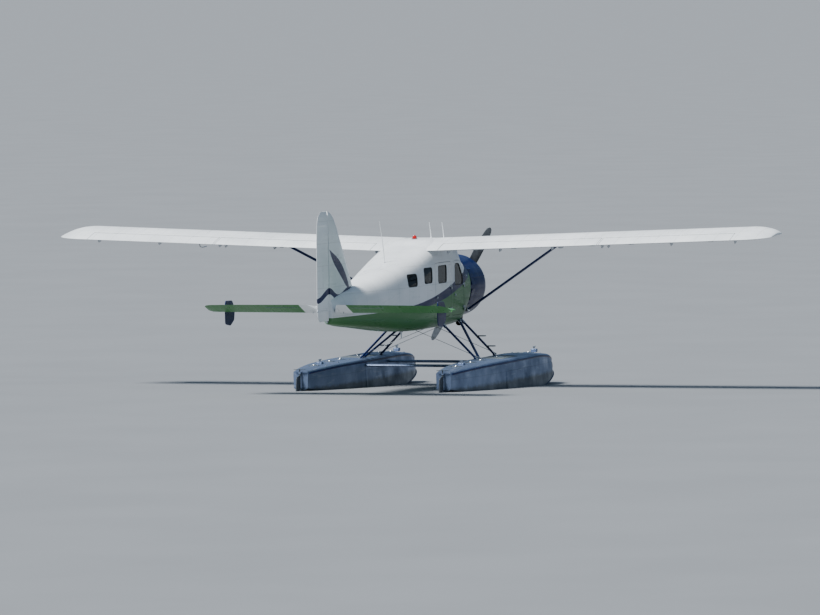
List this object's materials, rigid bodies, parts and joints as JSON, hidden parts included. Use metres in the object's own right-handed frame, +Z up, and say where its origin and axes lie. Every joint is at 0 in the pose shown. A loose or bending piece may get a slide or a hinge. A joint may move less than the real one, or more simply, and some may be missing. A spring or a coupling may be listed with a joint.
{
  "type": "high-wing single-engine floatplane",
  "caption": "High-wing cabin floatplane with a radial engine, strut-braced wing, tail finlets, hinged doors and control surfaces, on twin floats with water rudders.",
  "frame": {"origin": "centre of the bounding box at its base: midway between the float keels, on the surface the keels stand on", "axes": "+X towards the aircraft's left wing tip, +Y aft towards the tail, +Z up"},
  "size_m": [14.6302, 9.98, 4],
  "materials": {
    "white_paint": "satin",
    "green_paint": "satin",
    "navy_paint": "gloss",
    "bare_metal": "satin",
    "dark_metal": "matte",
    "propeller_metal": "satin",
    "engine_metal": "matte",
    "window_glass": "polished",
    "seat_leather": "satin",
    "panel_plastic": "matte"
  },
  "bodies": {
    "airframe": {"nose_section": "white_paint", "engine_cowl": "navy_paint", "engine": "engine_metal", "cabin_floor": "green_paint", "cabin_wall_left": "white_paint", "cabin_wall_right": "white_paint", "cabin_roof": "white_paint", "windshield_frame": "white_paint", "windshield": "window_glass", "side_window_left": "window_glass", "side_window_right": "window_glass", "rear_fuselage": "white_paint", "aft_window_left": "window_glass", "aft_window_right": "window_glass", "rear_bulkhead": "bare_metal", "pilot_seat": "seat_leather", "copilot_seat": "seat_leather", "rear_bench": "seat_leather", "instrument_panel": "panel_plastic", "wing_left": "white_paint", "wing_right": "white_paint", "wing_strut_left": "navy_paint", "wing_strut_right": "navy_paint", "fin": "white_paint", "tailplane_left": "green_paint", "tailplane_right": "green_paint", "finlet_left": "navy_paint", "finlet_right": "navy_paint", "float_left": "bare_metal", "float_right": "bare_metal", "front_spreader_bar": "bare_metal", "rear_spreader_bar": "bare_metal", "front_float_strut_left": "navy_paint", "front_float_strut_right": "navy_paint", "rear_float_strut_left": "navy_paint", "rear_float_strut_right": "navy_paint", "diagonal_float_strut_left": "navy_paint", "diagonal_float_strut_right": "navy_paint"},
    "propeller": {"propeller": "propeller_metal"},
    "aileron_left": {"aileron_left": "white_paint"},
    "aileron_right": {"aileron_right": "white_paint"},
    "flap_left": {"flap_left": "white_paint"},
    "flap_right": {"flap_right": "white_paint"},
    "elevator": {"elevator": "green_paint"},
    "rudder": {"rudder": "white_paint"},
    "water_rudder_left": {"water_rudder_left": "dark_metal"},
    "water_rudder_right": {"water_rudder_right": "dark_metal"},
    "crew_door_left": {"crew_door_left": "white_paint", "crew_door_glass_left": "window_glass"},
    "crew_door_right": {"crew_door_right": "white_paint", "crew_door_glass_right": "window_glass"},
    "cabin_door_left": {"cabin_door_left": "white_paint", "cabin_door_glass_left": "window_glass"},
    "cabin_door_right": {"cabin_door_right": "white_paint", "cabin_door_glass_right": "window_glass"}
  },
  "joints": [
    {"name": "propeller_spin", "type": "hinge", "parent": "airframe", "child": "propeller", "pos_m": [0, -4, 2.23], "axis": [0, 1, 0], "continuous": true},
    {"name": "aileron_left_hinge", "type": "hinge", "parent": "airframe", "child": "aileron_left", "pos_m": [0.00085, -0.69856, 3.08576], "axis": [0.9994, 0, 0.0349], "range_deg": [-15, 20]},
    {"name": "aileron_right_hinge", "type": "hinge", "parent": "airframe", "child": "aileron_right", "pos_m": [-0.00085, -0.69856, 3.08576], "axis": [0.9994, 0, -0.0349], "range_deg": [-15, 20]},
    {"name": "flap_left_hinge", "type": "hinge", "parent": "airframe", "child": "flap_left", "pos_m": [0.00085, -0.69856, 3.08576], "axis": [-0.9994, 0, -0.0349], "range_deg": [0, 50]},
    {"name": "flap_right_hinge", "type": "hinge", "parent": "airframe", "child": "flap_right", "pos_m": [-0.00085, -0.69856, 3.08576], "axis": [-0.9994, 0, 0.0349], "range_deg": [0, 50]},
    {"name": "elevator_hinge", "type": "hinge", "parent": "airframe", "child": "elevator", "pos_m": [0, 4.265, 2.12], "axis": [1, 0, 0], "range_deg": [-36, 9]},
    {"name": "rudder_hinge", "type": "hinge", "parent": "airframe", "child": "rudder", "pos_m": [0, 4.43, 3], "axis": [0, 0, 1], "range_deg": [-25, 25]},
    {"name": "water_rudder_left_steer", "type": "hinge", "parent": "airframe", "child": "water_rudder_left", "pos_m": [1.45, 1.822, 0.6], "axis": [0, 0, 1], "range_deg": [-30, 30]},
    {"name": "water_rudder_right_steer", "type": "hinge", "parent": "airframe", "child": "water_rudder_right", "pos_m": [-1.45, 1.822, 0.6], "axis": [0, 0, 1], "range_deg": [-30, 30]},
    {"name": "crew_door_left_hinge", "type": "hinge", "parent": "airframe", "child": "crew_door_left", "pos_m": [0.634, -2.221, 2.1], "axis": [0, 0, -1], "range_deg": [0, 70]},
    {"name": "crew_door_right_hinge", "type": "hinge", "parent": "airframe", "child": "crew_door_right", "pos_m": [-0.634, -2.221, 2.1], "axis": [0, 0, 1], "range_deg": [0, 70]},
    {"name": "cabin_door_left_hinge", "type": "hinge", "parent": "airframe", "child": "cabin_door_left", "pos_m": [0.634, -1.386, 2.1], "axis": [0, 0, -1], "range_deg": [0, 80]},
    {"name": "cabin_door_right_hinge", "type": "hinge", "parent": "airframe", "child": "cabin_door_right", "pos_m": [-0.634, -1.386, 2.1], "axis": [0, 0, 1], "range_deg": [0, 80]}
  ]
}
